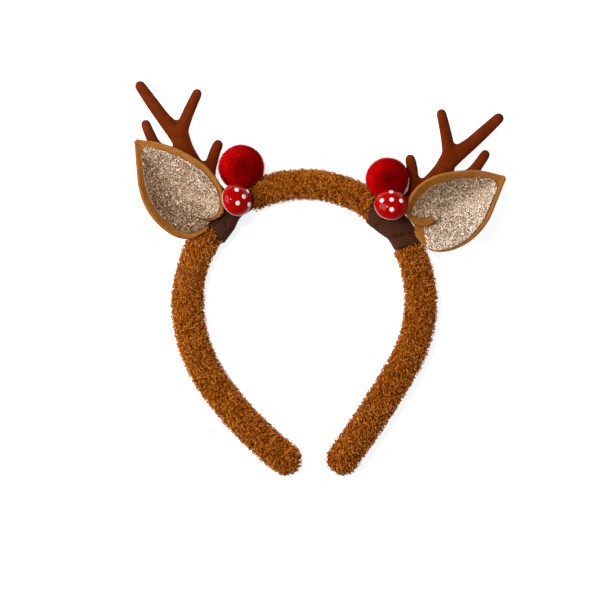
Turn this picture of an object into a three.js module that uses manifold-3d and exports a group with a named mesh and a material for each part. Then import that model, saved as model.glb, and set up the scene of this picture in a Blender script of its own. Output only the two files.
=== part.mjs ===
// A plush headband with reindeer antlers, glitter-lined ears, pompoms and toadstools, lying flat.
// Millimetres and degrees. The origin is under the middle of the crown, on the underside of the plush;
// +Y points from the head's centre to the crown, +X to the right as seen from above, +Z up.

import * as THREE from "three";
import { mergeVertices } from "three/addons/utils/BufferGeometryUtils.js";
import Module from "manifold-3d";

const wasm = await Module();
wasm.setup();

const fitGap = 0.3; // left between pieces that touch

const crownRadius = 70; // centreline of the band over the crown
const legLength = 80; // the nearly straight stretch down to each tip
const crownThickness = 17.2; // plush, inner face to outer face
const legThickness = 18.6;
const bandDepth = 21; // plush, underside to top
const soleSink = 0.9; // how far the plush is pressed flat where it rests
const roundness = 0.77; // power of the band's rounded section
const tipBends = [25, 48, 68, 84]; // where the rings of a rounded tip lie, from its rim to its end
const tipFlatness = 0.6; // how much less a tip rounds off in height than in width

const ribbonThickness = 1;
const ribbonSqueeze = 2.3; // how far the wrap draws the plush in, above and below
const neckThickness = 15; // plush under the wrap, before each side's own taper
const neckBlend = 3; // length over which the plush swells again beside the wrap
const wrapSlant = 3; // how much earlier the wrap starts on the outer face
const slantFade = 9; // length over which the plush before the wrap takes up that slant
const taperSpan = [0.25, 0.75]; // stretch of the wrap along which the neck changes width

const antlerReach = 62; // from the band's centreline to the main fork
const antlerThickness = 5.2;
const tineWidth = 6.4;
const antlerHeight = 8.6; // underside of the antlers above the surface
const limbRoundness = 0.95; // most that a limb's thickness may be of its width
const limbEndBends = [42, 74]; // where the rings of a limb's rounded end lie

const earLength = 65; // base to tip
const earWidth = 46;
const earCup = 12; // rise of the ear's rims above its floor
const earFloor = 16.4; // underside of the ear's floor above the surface
const feltThickness = 2;
const rimWidth = 3.9; // felt left bare round the glitter
const hookReach = 0.46; // share of the front lobe along which the hook keeps its rim
const hookFade = 0.12; // share over which that rim runs out
const glitterThickness = 0.7;

const pompomRadius = 14;
const pompomHeight = 15.4; // centre above the surface
const pompomOffset = 18; // centre outside the band's centreline
const pompomCoreRadius = 11.8; // where the locks of pile part
const lockCount = 25;
const lockFootRadius = 5.4;
const lockTipRadius = 3.7;

const capRadius = 9.8;
const capRise = 8;
const capLip = 1.1; // radius of the cap's rolled rim
const lipBends = [-90, -45, 0]; // where the rings of the rim lie, and then those of the dome
const domeBends = [18, 36, 55, 74];
const capHeight = 28.4; // middle of the cap's underside above the surface
const spotRadius = 1.6;
const spotRaise = 0.7;
const spotTaper = 0.7; // a spot's top as a share of its foot
const spotRing = 5.8; // from the middle spot to the others round it
const outerSpots = 4;
const stemRadius = 2.5; // at the cap
const stemFootRadius = 3.2;

const ringSides = 16; // faces round the band
const stationStep = 10; // longest face along it
const limbSides = 8;
const limbStepsPerRow = 1.5;
const lobeRows = 12;
const lobeColumns = 4;
const rimColumnShare = 0.9; // most of a lobe's outermost column that its bare rim may take
const mergeWithin = 1e-4; // corners this close are one corner
const capSides = 20;
const spotSides = 8;
const lockSides = 4;

// One row for each side of the head. Places along the band are degrees round the crown from its middle,
// leans are degrees from straight out, turns are degrees about the vertical, and endSlant is how much later
// the wrap ends on the outer face. The other columns are shares: of the crown's radius, of the leg's length,
// of the neck's half thickness, of the antler's reach, of the ear's width and length, and of the cap's
// radius.
const sides = [
  {
    name: "left", sign: -1,
    bendRadius: 1.25, bendSweep: 36, legShare: 0.76, legSweep: 16,
    wrapFrom: 26.5, wrapTo: 52.2, endSlant: -2.7,
    innerFrom: 0.75, innerTo: 1.25, outerFrom: 1.1, outerTo: 0.95,
    antlerAt: 35.5, antlerOut: 1, antlerLean: -2.5,
    earAt: 48.1, earOut: 0.091, earLean: -4.1, earShare: 1,
    pompomAt: 25.2,
    capAt: 34.3, capOut: 0.22, capTilt: 34, capToward: 21, spotTurn: 45, spotShift: 0.13,
  },
  {
    name: "right", sign: 1,
    bendRadius: 1.1, bendSweep: 30, legShare: 0.84, legSweep: 6,
    wrapFrom: 35.5, wrapTo: 62.6, endSlant: 2,
    innerFrom: 1.15, innerTo: 0.84, outerFrom: 1.1, outerTo: 1.08,
    antlerAt: 44.4, antlerOut: 0.973, antlerLean: 0.7,
    earAt: 54.4, earOut: 0.241, earLean: 9.1, earShare: 0.932,
    pompomAt: 34.6,
    capAt: 42.3, capOut: 0.64, capTilt: 25, capToward: 80, spotTurn: 0, spotShift: 0,
  },
];

// Antler limbs, root to tip. Along is out from the main fork and across is towards the head's middle, in
// shares of the antler's reach; width is in tine widths.
const antlerLimbs = {
  beam: [
    { along: -0.93, across: -0.02, width: 1.5 },
    { along: -0.72, across: -0.06, width: 1.55 },
    { along: -0.45, across: -0.084, width: 1.55 },
    { along: -0.27, across: -0.07, width: 1.45 },
    { along: -0.13, across: -0.052, width: 1.75 },
    { along: 0.0, across: -0.074, width: 1.38 },
    { along: 0.1, across: -0.088, width: 1.18 },
    { along: 0.26, across: -0.097, width: 1.1 },
    { along: 0.475, across: -0.105, width: 0.92 },
  ],
  innerTine: [
    { along: -0.2, across: -0.06, width: 1.2 },
    { along: -0.1, across: 0.0, width: 1.2 },
    { along: -0.035, across: 0.085, width: 1.05 },
    { along: 0.03, across: 0.18, width: 0.97 },
    { along: 0.115, across: 0.315, width: 0.84 },
  ],
  browTine: [
    { along: -0.66, across: -0.06, width: 1.35 },
    { along: -0.57, across: 0.01, width: 1.2 },
    { along: -0.505, across: 0.09, width: 1.02 },
    { along: -0.45, across: 0.155, width: 0.95 },
    { along: -0.41, across: 0.215, width: 0.88 },
  ],
  outerTine: [
    { along: -0.44, across: -0.09, width: 1.25 },
    { along: -0.33, across: -0.16, width: 1.2 },
    { along: -0.2, across: -0.25, width: 1.06 },
    { along: -0.08, across: -0.292, width: 0.98 },
    { along: 0.04, across: -0.28, width: 0.9 },
    { along: 0.135, across: -0.262, width: 0.82 },
  ],
  spurTine: [
    { along: -0.23, across: -0.23, width: 1.05 },
    { along: -0.17, across: -0.315, width: 0.98 },
    { along: -0.11, across: -0.39, width: 0.9 },
    { along: -0.055, across: -0.455, width: 0.82 },
  ],
};

// The ear is two lobes that meet in the valley from its base to its tip. The front lobe curls round the
// base in a hook that lies over the back lobe. A row gives where the lobe's inner and outer edges are: long
// in ear lengths from the base, side in ear widths, up and the sag between the edges in shares of the cup.
const frontLobe = [
  { inLong: -0.05, inSide: 0.08, inUp: 0.72, outLong: -0.048, outSide: 0.16, outUp: 0.78, sag: 0 },
  { inLong: -0.03, inSide: -0.02, inUp: 0.72, outLong: 0.01, outSide: 0.26, outUp: 0.86, sag: 0.2 },
  { inLong: 0.06, inSide: -0.125, inUp: 0.66, outLong: 0.09, outSide: 0.353, outUp: 0.94, sag: 0.36 },
  { inLong: 0.15, inSide: -0.14, inUp: 0.46, outLong: 0.21, outSide: 0.413, outUp: 1, sag: 0.4 },
  { inLong: 0.25, inSide: -0.07, inUp: 0.12, outLong: 0.36, outSide: 0.424, outUp: 1, sag: 0.22 },
  { inLong: 0.4, inSide: -0.05, inUp: 0.06, outLong: 0.52, outSide: 0.38, outUp: 0.92, sag: 0.16 },
  { inLong: 0.6, inSide: -0.04, inUp: 0.14, outLong: 0.69, outSide: 0.3, outUp: 0.76, sag: 0.1 },
  { inLong: 0.8, inSide: -0.03, inUp: 0.34, outLong: 0.84, outSide: 0.182, outUp: 0.6, sag: 0.03 },
  { inLong: 0.992, inSide: -0.014, inUp: 0.5, outLong: 0.992, outSide: 0.012, outUp: 0.52, sag: 0 },
];
const backLobe = [
  { inLong: -0.055, inSide: 0.1, inUp: 0.2, outLong: 0.01, outSide: -0.1, outUp: 0.24, sag: 0 },
  { inLong: 0.03, inSide: 0.03, inUp: 0.16, outLong: -0.052, outSide: -0.19, outUp: 0.34, sag: 0 },
  { inLong: 0.09, inSide: 0.0, inUp: 0.14, outLong: -0.005, outSide: -0.405, outUp: 0.55, sag: 0.06 },
  { inLong: 0.17, inSide: -0.01, inUp: 0.1, outLong: 0.12, outSide: -0.53, outUp: 0.84, sag: 0.16 },
  { inLong: 0.28, inSide: -0.03, inUp: 0.08, outLong: 0.3, outSide: -0.572, outUp: 1.04, sag: 0.26 },
  { inLong: 0.42, inSide: -0.035, inUp: 0.06, outLong: 0.48, outSide: -0.535, outUp: 1.04, sag: 0.26 },
  { inLong: 0.6, inSide: -0.03, inUp: 0.14, outLong: 0.65, outSide: -0.43, outUp: 0.9, sag: 0.16 },
  { inLong: 0.8, inSide: -0.022, inUp: 0.34, outLong: 0.82, outSide: -0.245, outUp: 0.68, sag: 0.05 },
  { inLong: 0.992, inSide: -0.014, inUp: 0.5, outLong: 0.992, outSide: -0.04, outUp: 0.52, sag: 0 },
];

const radians = THREE.MathUtils.degToRad;
const lerp = THREE.MathUtils.lerp;
const smooth = THREE.MathUtils.smoothstep;
const crownArc = (degrees) => radians(degrees) * crownRadius;

// A closed body through rings of equally many points, capped at both ends by strips between the ring's
// first and second half, or joined end to end.
function loft(rings, joined = false) {
  const count = rings[0].length;
  const positions = rings.flatMap((ring) => ring.flatMap((point) => point.toArray()));
  const index = [];
  const spans = joined ? rings.length : rings.length - 1;
  for (let row = 0; row < spans; row += 1) {
    const here = row * count;
    const next = ((row + 1) % rings.length) * count;
    for (let side = 0; side < count; side += 1) {
      const other = (side + 1) % count;
      index.push(here + side, next + side, next + other);
      index.push(here + side, next + other, here + other);
    }
  }
  if (!joined) {
    const last = (rings.length - 1) * count;
    for (let side = 0; side < count / 2 - 1; side += 1) {
      const far = count - 1 - side;
      index.push(side, side + 1, far - 1, side, far - 1, far);
      index.push(last + side, last + far - 1, last + side + 1, last + side, last + far, last + far - 1);
    }
  }
  const geometry = new THREE.BufferGeometry();
  geometry.setAttribute("position", new THREE.Float32BufferAttribute(positions, 3));
  geometry.setIndex(index);
  return geometry;
}

// The solid of a closed geometry, turned the right way out.
function solidOf(geometry) {
  const bare = geometry.clone();
  bare.deleteAttribute("normal");
  bare.deleteAttribute("uv");
  const merged = mergeVertices(bare, mergeWithin);
  const vertProperties = Float32Array.from(merged.attributes.position.array);
  const build = (triVerts) => new wasm.Manifold(new wasm.Mesh({ numProp: 3, vertProperties, triVerts }));
  const corners = Array.from({ length: merged.index.count / 3 }, (_, face) => [
    merged.index.getX(3 * face), merged.index.getX(3 * face + 1), merged.index.getX(3 * face + 2)]);
  const triVerts = Uint32Array.from(corners.filter((corner) => new Set(corner).size === 3).flat());
  const solid = build(triVerts);
  return solid.volume() > 0 ? solid : build(triVerts.map((_, at, all) => all[at - (at % 3) + 2 - (at % 3)]));
}

function geometryOf(solid) {
  const mesh = solid.getMesh();
  const geometry = new THREE.BufferGeometry();
  geometry.setAttribute("position", new THREE.BufferAttribute(Float32Array.from(mesh.vertProperties), 3));
  geometry.setIndex(new THREE.BufferAttribute(Uint32Array.from(mesh.triVerts), 1));
  geometry.computeVertexNormals();
  return geometry;
}

// What is left of a trimmed solid, without the crumbs that the trim cuts loose.
function largestBody(solid) {
  return solid.decompose().reduce((best, body) => (body.volume() > best.volume() ? body : best));
}

// The band's centreline on one side: arcs that run into each other, from the crown's middle to the tip.
function halfPath(side) {
  const bendRadius = crownRadius * side.bendRadius;
  const legRun = legLength * side.legShare;
  const arcs = [
    { radius: crownRadius, length: crownArc(90) },
    { radius: bendRadius, length: radians(side.bendSweep) * bendRadius },
    { radius: legRun / radians(side.legSweep), length: legRun },
  ];
  let start = { at: 0, x: 0, y: 0, heading: 0 };
  return arcs.map((arc) => {
    const piece = { ...arc, ...start };
    const end = alongArc(piece, arc.length);
    start = { at: start.at + arc.length, ...end };
    return piece;
  });
}

function alongArc(arc, length) {
  const turned = arc.heading - length / arc.radius;
  const x = arc.x + arc.radius * (Math.sin(arc.heading) - Math.sin(turned));
  const y = arc.y + arc.radius * (Math.cos(turned) - Math.cos(arc.heading));
  return { x, y, heading: turned };
}

// A place on the band: so far along the centreline, so far outside it and so high.
function place(side, at, outward, height) {
  const arc = side.path.findLast((piece) => at >= piece.at) ?? side.path[0];
  const spot = alongArc(arc, at - arc.at);
  const x = spot.x - Math.sin(spot.heading) * outward;
  const y = spot.y + Math.cos(spot.heading) * outward;
  return new THREE.Vector3(side.sign * x, y, height);
}

// The angle from +Y at which the band faces outward there, turning towards the side's own leg.
function outwardAngle(side, at) {
  const arc = side.path.findLast((piece) => at >= piece.at) ?? side.path[0];
  return -alongArc(arc, at - arc.at).heading;
}

// The plush's section: full over crown and legs, drawn in under the wrap.
function bandSection(side, at) {
  const full = lerp(crownThickness, legThickness, smooth(at, side.wrapEnd, crownArc(90))) / 2;
  const drawn = smooth(at, side.wrapStart - neckBlend, side.wrapStart)
    * (1 - smooth(at, side.wrapEnd, side.wrapEnd + neckBlend));
  const [taperStart, taperEnd] = taperSpan.map((share) => lerp(side.wrapStart, side.wrapEnd, share));
  const run = smooth(at, taperStart, taperEnd);
  const neck = neckThickness / 2;
  return {
    inner: lerp(full, neck * lerp(side.innerFrom, side.innerTo, run), drawn),
    outer: lerp(full, neck * lerp(side.outerFrom, side.outerTo, run), drawn),
    low: ribbonSqueeze * drawn,
    high: bandDepth - ribbonSqueeze * drawn,
  };
}

// How far a section is swung along the band at its faces: the wrap starts and ends aslant.
function slantAt(side, at) {
  const first = side.wrapStart - neckBlend;
  const swing = smooth(at, first - slantFade, first) * (1 - smooth(at, side.wrapStart, side.wrapEnd));
  const last = side.wrapEnd + neckBlend;
  const settle = smooth(at, side.wrapStart, side.wrapEnd) * (1 - smooth(at, last, last + slantFade));
  return wrapSlant * swing - side.endSlant * settle;
}

// A point on the section's rounded outline, so far outside it, with the underside pressed flat.
function sectionPoint(side, at, angle, extra) {
  const section = bandSection(side, at);
  const shaped = (value) => Math.sign(value) * Math.abs(value) ** roundness;
  const reach = (Math.cos(angle) > 0 ? section.outer : section.inner) + extra;
  const halfDepth = (section.high - section.low + soleSink) / 2;
  const middle = section.high - halfDepth;
  const height = middle + (halfDepth + extra) * shaped(Math.sin(angle));
  const swung = at - slantAt(side, at) * Math.cos(angle);
  return place(side, swung, reach * shaped(Math.cos(angle)), Math.max(height, section.low - extra));
}

// Ring angles lie half a step off the vertical, so the pressed underside is a flat strip.
function ringAngles() {
  const turn = (2 * Math.PI) / ringSides;
  return Array.from({ length: ringSides }, (_, step) => (step + 0.5) * turn + Math.PI / 2);
}

function stations(from, to, step) {
  const count = Math.max(2, Math.ceil((to - from) / step));
  return Array.from({ length: count + 1 }, (_, row) => lerp(from, to, row / count));
}

// The wrap and the neck under it share these places, so that they stay parallel.
function wrapStations(side) {
  return stations(side.wrapStart, side.wrapEnd, stationStep / 2);
}

// One side's rings from the crown's middle to the rounded tip.
function halfRings(side) {
  const tipRadius = legThickness / 2;
  const plain = [
    ...stations(0, side.wrapStart - neckBlend, stationStep),
    side.wrapStart - neckBlend / 2,
    ...wrapStations(side),
    side.wrapEnd + neckBlend / 2,
    ...stations(side.wrapEnd + neckBlend, side.pathLength, stationStep),
  ];
  const rings = plain.map((at) => ringAngles().map((angle) => sectionPoint(side, at, angle, 0)));
  const tip = place(side, side.pathLength, 0, bandDepth / 2);
  const angle = outwardAngle(side, side.pathLength);
  const ahead = new THREE.Vector3(side.sign * Math.cos(angle), -Math.sin(angle), 0);
  for (const bend of tipBends) {
    const shrink = Math.cos(radians(bend));
    rings.push(rings[plain.length - 1].map((point) => {
      const inward = point.clone().sub(tip).multiplyScalar(shrink).add(tip);
      inward.z = lerp(point.z, inward.z, tipFlatness);
      return inward.addScaledVector(ahead, tipRadius * Math.sin(radians(bend)));
    }));
  }
  return rings;
}

function bandGeometry() {
  const [left, right] = sides.map(halfRings);
  return geometryOf(solidOf(loft([...left.slice(1).reverse(), ...right])));
}

function ribbonGeometry(side) {
  const rows = ringAngles().map((angle) => {
    const under = wrapStations(side).map((at) => sectionPoint(side, at, angle, fitGap));
    const over = wrapStations(side).map((at) => sectionPoint(side, at, angle, fitGap + ribbonThickness));
    return [...under, ...over.reverse()];
  });
  return geometryOf(solidOf(loft(rows, true)));
}

// The shoulder of the band with its wrap and the clearance round them: what is glued on is trimmed by it.
function shoulderEnvelope(side) {
  const spread = pompomRadius + neckBlend;
  const before = [...stations(side.wrapStart - spread, side.wrapStart - neckBlend, stationStep / 2),
    side.wrapStart - neckBlend / 2];
  const after = [side.wrapEnd + neckBlend / 2,
    ...stations(side.wrapEnd + neckBlend, side.wrapEnd + spread, stationStep / 2)];
  const ringAt = (at, extra) => ringAngles().map((angle) => sectionPoint(side, at, angle, extra));
  return solidOf(loft([
    ...before.map((at) => ringAt(at, fitGap)),
    ringAt(side.wrapStart - 2 * fitGap, fitGap),
    ringAt(side.wrapStart - fitGap, 2 * fitGap + ribbonThickness),
    ...wrapStations(side).map((at) => ringAt(at, 2 * fitGap + ribbonThickness)),
    ringAt(side.wrapEnd + fitGap, 2 * fitGap + ribbonThickness),
    ringAt(side.wrapEnd + 2 * fitGap, fitGap),
    ...after.map((at) => ringAt(at, fitGap)),
  ]));
}

// A tapered limb with an oval section and round ends, along a smooth line through its rows.
function limbSolid(rows, extra) {
  const spine = new THREE.CatmullRomCurve3(
    rows.map((row) => new THREE.Vector3(row.across * antlerReach, row.along * antlerReach, 0)));
  const widths = new THREE.CatmullRomCurve3(rows.map((row, at) => new THREE.Vector3(row.width, at, 0)));
  const ring = (spot, ahead, halfWidth, halfThickness) => Array.from({ length: limbSides }, (_, step) => {
    const angle = (2 * Math.PI * (step + 0.5)) / limbSides;
    const out = new THREE.Vector3(ahead.y, -ahead.x, 0).multiplyScalar(Math.cos(angle) * halfWidth);
    return spot.clone().add(out).setZ(Math.sin(angle) * halfThickness);
  });
  const rings = [];
  const last = rows.length - 1;
  const steps = Math.round(last * limbStepsPerRow);
  const addRing = (share, bend, direction) => {
    const ahead = spine.getTangent(share);
    const halfWidth = (widths.getPoint(share).x * tineWidth) / 2 + extra;
    const halfThickness = Math.min(antlerThickness / 2, halfWidth * limbRoundness) + extra;
    const beyond = direction * halfWidth * Math.sin(radians(bend));
    const spot = spine.getPoint(share).addScaledVector(ahead, beyond);
    const shrink = Math.cos(radians(bend));
    rings.push(ring(spot, ahead, halfWidth * shrink, halfThickness * shrink));
  };
  limbEndBends.toReversed().forEach((bend) => addRing(0, bend, -1));
  for (let step = 0; step <= steps; step += 1) addRing(step / steps, 0, 0);
  limbEndBends.forEach((bend) => addRing(1, bend, 1));
  return solidOf(loft(rings));
}

// The frame of a piece on the band: local +Y points out, leaning by an angle, and local +X towards the
// head's middle on either side.
function outwardFrame(side, at, outward, height, lean) {
  const axis = -side.sign * (outwardAngle(side, at) + radians(lean));
  const matrix = new THREE.Matrix4().makeTranslation(place(side, at, outward, height));
  matrix.multiply(new THREE.Matrix4().makeRotationZ(axis));
  return matrix.multiply(new THREE.Matrix4().makeScale(-side.sign, 1, 1));
}

function antlerSolid(side, extra) {
  const at = crownArc(side.antlerAt);
  const out = side.antlerOut * antlerReach;
  const frame = outwardFrame(side, at, out, antlerHeight + antlerThickness / 2, side.antlerLean);
  const limbs = Object.values(antlerLimbs).map((rows) => limbSolid(rows, extra));
  const whole = limbs.reduce((joined, limb) => joined.add(limb));
  return solidOf(geometryOf(whole).applyMatrix4(frame));
}

function antlerGeometry(side) {
  return geometryOf(largestBody(antlerSolid(side, 0).subtract(side.envelope)));
}

// A lobe's underside as a grid of points, inner edge to outer edge, in the ear's own frame. Its edges are
// smooth lines through the table's points, and it sags between them as a parabola.
function lobeGrid(side, rows, spread) {
  const edgePoint = (row, edge) => new THREE.Vector3(
    row[`${edge}Side`] * earWidth, row[`${edge}Long`] * side.earShare * earLength, row[`${edge}Up`] * earCup);
  const inner = new THREE.CatmullRomCurve3(rows.map((row) => edgePoint(row, "in")));
  const outer = new THREE.CatmullRomCurve3(rows.map((row) => edgePoint(row, "out")));
  const sags = new THREE.CatmullRomCurve3(rows.map((row, at) => new THREE.Vector3(row.sag * earCup, at, 0)));
  return Array.from({ length: lobeRows + 1 }, (_, line) => {
    const share = line / lobeRows;
    const start = inner.getPoint(share);
    const end = outer.getPoint(share);
    const beyond = spread / start.distanceTo(end);
    return Array.from({ length: lobeColumns + 1 }, (_, step) => {
      const across = lerp(-beyond, 1 + beyond, step / lobeColumns);
      const point = start.clone().lerp(end, across);
      point.z -= sags.getPoint(share).x * 4 * across * (1 - across);
      return point;
    });
  });
}

// The grid moved out along its own normals, upward.
function raisedGrid(grid, height) {
  const normalAt = (row, column) => {
    const rows = [grid[Math.max(row - 1, 0)][column], grid[Math.min(row + 1, grid.length - 1)][column]];
    const last = grid[row].length - 1;
    const columns = [grid[row][Math.max(column - 1, 0)], grid[row][Math.min(column + 1, last)]];
    const normal = rows[1].clone().sub(rows[0]).cross(columns[1].clone().sub(columns[0])).normalize();
    return normal.z < 0 ? normal.negate() : normal;
  };
  return grid.map((line, row) =>
    line.map((point, column) => point.clone().addScaledVector(normalAt(row, column), height)));
}

function sheetSolid(under, over) {
  return solidOf(loft(under.map((line, row) => [...line, ...over[row].toReversed()])));
}

function earFrame(side) {
  return outwardFrame(side, crownArc(side.earAt), side.earOut * earWidth, earFloor, side.earLean);
}

// Both lobes of the felt, spread and thickened by a clearance where they trim the glitter.
function earFelt(side, extra) {
  const [front, back] = [frontLobe, backLobe].map((rows) => {
    const under = lobeGrid(side, rows, extra);
    return sheetSolid(under, raisedGrid(under, feltThickness + extra));
  });
  return front.add(back);
}

// A piece of the ear put in its place and trimmed by the band.
function seatedEar(side, solid) {
  const placed = solidOf(geometryOf(solid).applyMatrix4(earFrame(side)));
  return geometryOf(largestBody(placed.subtract(side.envelope)));
}

// A point so far across a line of grid points, as a share of the line.
function pointAcross(line, share) {
  const step = Math.min(Math.floor(share * lobeColumns), lobeColumns - 1);
  return line[step].clone().lerp(line[step + 1], share * lobeColumns - step);
}

// One lobe's glitter lies on the felt's upper face, a rim's width inside its outer edge. Inside, it keeps
// the rim along the hook and runs into the valley past it.
function glitterLobe(side, rows, hookEnd) {
  const top = raisedGrid(lobeGrid(side, rows, 0), feltThickness);
  const inside = rimColumnShare / lobeColumns;
  const lines = top.map((line, row) => {
    const span = line[0].distanceTo(line[lobeColumns]);
    const hooked = rimWidth * (1 - smooth(row / lobeRows, hookEnd - hookFade, hookEnd));
    const first = Math.min(hooked / span, inside);
    const final = Math.max(1 - rimWidth / span, 1 - inside);
    const between = Array.from({ length: lobeColumns - 1 }, (_, step) => (step + 1) / lobeColumns);
    return [first, ...between, final].map((share) => pointAcross(line, share));
  }).slice(1, -1);
  const lifted = (height) => lines.map((line) => line.map((point) => point.clone().setZ(point.z + height)));
  return sheetSolid(lifted(fitGap), lifted(fitGap + glitterThickness));
}

function glitterSolid(side) {
  const whole = glitterLobe(side, frontLobe, hookReach).add(glitterLobe(side, backLobe, 0));
  return whole.subtract(earFelt(side, fitGap / 2)).subtract(earFelt(side, 0));
}

// The cap's frame: its underside's middle over the band, tipped towards a compass angle from +X.
function capFrame(side) {
  const spot = place(side, crownArc(side.capAt), side.capOut * capRadius, capHeight);
  const toward = radians(side.capToward);
  const hinge = new THREE.Vector3(-Math.sin(toward), Math.cos(toward), 0);
  const matrix = new THREE.Matrix4().makeTranslation(spot);
  return matrix.multiply(new THREE.Matrix4().makeRotationAxis(hinge, radians(side.capTilt)));
}

function capProfile(extra) {
  const point = (reach, rise) => new THREE.Vector2(reach, rise);
  const lipAt = (bend) => point(
    capRadius - capLip + (capLip + extra) * Math.cos(radians(bend)),
    capLip + (capLip + extra) * Math.sin(radians(bend)));
  const domeAt = (climb) => point(
    (capRadius + extra) * Math.cos(radians(climb)),
    capLip + (capRise - capLip + extra) * Math.sin(radians(climb)));
  const rim = lipBends.map(lipAt);
  const dome = domeBends.map(domeAt);
  return [point(0, -extra), ...rim, ...dome, point(0, capRise + extra)];
}

function spotSolids(side) {
  const places = [{ ring: 0, turn: 0 }];
  for (let spot = 0; spot < outerSpots; spot += 1) {
    places.push({ ring: spotRing, turn: radians(side.spotTurn) + (spot * 2 * Math.PI) / outerSpots });
  }
  const turned = (length, angle) => new THREE.Vector2(length * Math.cos(angle), length * Math.sin(angle));
  const shift = turned(side.spotShift * capRadius, radians(side.capToward));
  return places.map((spot) => {
    const centre = turned(spot.ring, spot.turn).add(shift);
    const ring = centre.length();
    const turn = Math.atan2(centre.y, centre.x);
    const domeRise = capRise - capLip;
    const climb = Math.acos(ring / capRadius);
    const slope = Math.atan2(ring / capRadius ** 2, Math.sin(climb) / domeRise);
    const matrix = new THREE.Matrix4().makeRotationZ(turn);
    matrix.multiply(new THREE.Matrix4().makeTranslation(ring, 0, capLip + domeRise * Math.sin(climb)));
    matrix.multiply(new THREE.Matrix4().makeRotationY(slope));
    const disc = new THREE.CylinderGeometry(spotRadius * spotTaper, spotRadius, 2 * spotRaise, spotSides);
    return solidOf(disc.rotateX(Math.PI / 2).applyMatrix4(matrix));
  });
}

function capSolid(extra) {
  return solidOf(new THREE.LatheGeometry(capProfile(extra), capSides).rotateX(Math.PI / 2));
}

function capGeometry(side) {
  const whole = spotSolids(side).reduce((joined, spot) => joined.add(spot), capSolid(0));
  return geometryOf(solidOf(geometryOf(whole).applyMatrix4(capFrame(side))));
}

// A plain post from the cap's underside down into the wrap, trimmed where it meets it.
function stemGeometry(side) {
  const length = capHeight;
  const profile = [
    new THREE.Vector2(0, -length / 2),
    new THREE.Vector2(stemFootRadius, -length / 2),
    new THREE.Vector2(stemRadius, -fitGap),
    new THREE.Vector2(0, -fitGap),
  ];
  const post = new THREE.LatheGeometry(profile, spotSides).rotateX(Math.PI / 2);
  const placed = solidOf(post.applyMatrix4(capFrame(side))).subtract(side.envelope);
  const top = new THREE.Vector3(0, 0, -fitGap).applyMatrix4(capFrame(side));
  const nearTop = (body) => Math.abs(body.boundingBox().max[2] - top.z);
  return geometryOf(placed.decompose().reduce((best, body) => (nearTop(body) < nearTop(best) ? body : best)));
}

// Blunt locks of pile all round a core, spread evenly by the golden angle.
function pompomSolid() {
  const core = solidOf(new THREE.IcosahedronGeometry(pompomCoreRadius, 1));
  const goldenAngle = Math.PI * (3 - Math.sqrt(5));
  let ball = core;
  for (let lock = 0; lock < lockCount; lock += 1) {
    const height = 1 - (2 * (lock + 0.5)) / lockCount;
    const turn = goldenAngle * lock;
    const level = Math.sqrt(1 - height * height);
    const direction = new THREE.Vector3(level * Math.cos(turn), level * Math.sin(turn), height);
    const tuft = new THREE.CylinderGeometry(lockTipRadius, lockFootRadius, pompomRadius, lockSides);
    tuft.translate(0, pompomRadius / 2, 0);
    const aim = new THREE.Quaternion().setFromUnitVectors(new THREE.Vector3(0, 1, 0), direction);
    tuft.applyQuaternion(aim);
    ball = ball.add(solidOf(tuft));
  }
  return ball;
}

function pompomGeometry(side) {
  const spot = place(side, crownArc(side.pompomAt), pompomOffset, pompomHeight);
  const ball = pompomSolid().translate(spot.toArray());
  const cap = solidOf(geometryOf(capSolid(fitGap)).applyMatrix4(capFrame(side)));
  const trimmed = ball.subtract(side.envelope).subtract(antlerSolid(side, fitGap)).subtract(cap);
  return geometryOf(largestBody(trimmed));
}

const materials = {
  plush: () => new THREE.MeshStandardMaterial({ color: 0x86480f, roughness: 0.95, metalness: 0 }),
  ribbon: () => new THREE.MeshStandardMaterial({ color: 0x452719, roughness: 0.7, metalness: 0 }),
  flock: () => new THREE.MeshStandardMaterial({ color: 0x702f0c, roughness: 0.9, metalness: 0 }),
  felt: () => new THREE.MeshStandardMaterial({ color: 0xa56a32, roughness: 0.95, metalness: 0 }),
  glitter: () => new THREE.MeshStandardMaterial({ color: 0xc0a080, roughness: 0.35, metalness: 0.6 }),
  pile: () => new THREE.MeshStandardMaterial({ color: 0x8c0403, roughness: 0.95, metalness: 0 }),
  lacquer: () => new THREE.MeshStandardMaterial({ color: 0xc60a09, roughness: 0.15, metalness: 0 }),
  stalk: () => new THREE.MeshStandardMaterial({ color: 0xe8ddd2, roughness: 0.6, metalness: 0 }),
};

function addPiece(group, name, geometry, material) {
  const mesh = new THREE.Mesh(geometry, material);
  mesh.name = name;
  group.add(mesh);
}

const headband = new THREE.Group();
headband.name = "reindeer_antler_headband";

for (const side of sides) {
  side.path = halfPath(side);
  const lastArc = side.path.at(-1);
  side.pathLength = lastArc.at + lastArc.length;
  side.wrapStart = crownArc(side.wrapFrom);
  side.wrapEnd = crownArc(side.wrapTo);
  side.envelope = shoulderEnvelope(side);
}
addPiece(headband, "plush_band", bandGeometry(), materials.plush());
for (const side of sides) {
  const group = new THREE.Group();
  addPiece(group, `ribbon_wrap_${side.name}`, ribbonGeometry(side), materials.ribbon());
  addPiece(group, `antler_${side.name}`, antlerGeometry(side), materials.flock());
  addPiece(group, `ear_felt_${side.name}`, seatedEar(side, earFelt(side, 0)), materials.felt());
  addPiece(group, `ear_glitter_${side.name}`, seatedEar(side, glitterSolid(side)), materials.glitter());
  addPiece(group, `pompom_${side.name}`, pompomGeometry(side), materials.pile());
  addPiece(group, `toadstool_cap_${side.name}`, capGeometry(side), materials.lacquer());
  addPiece(group, `toadstool_stem_${side.name}`, stemGeometry(side), materials.stalk());
  headband.add(group);
}

export default headband;
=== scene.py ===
# A plush headband with reindeer antlers, felt ears, pompoms and toadstools, lying flat.
# Everything is in metres. The band's crown is at the origin and the antlers point along +Y.
import math

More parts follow.
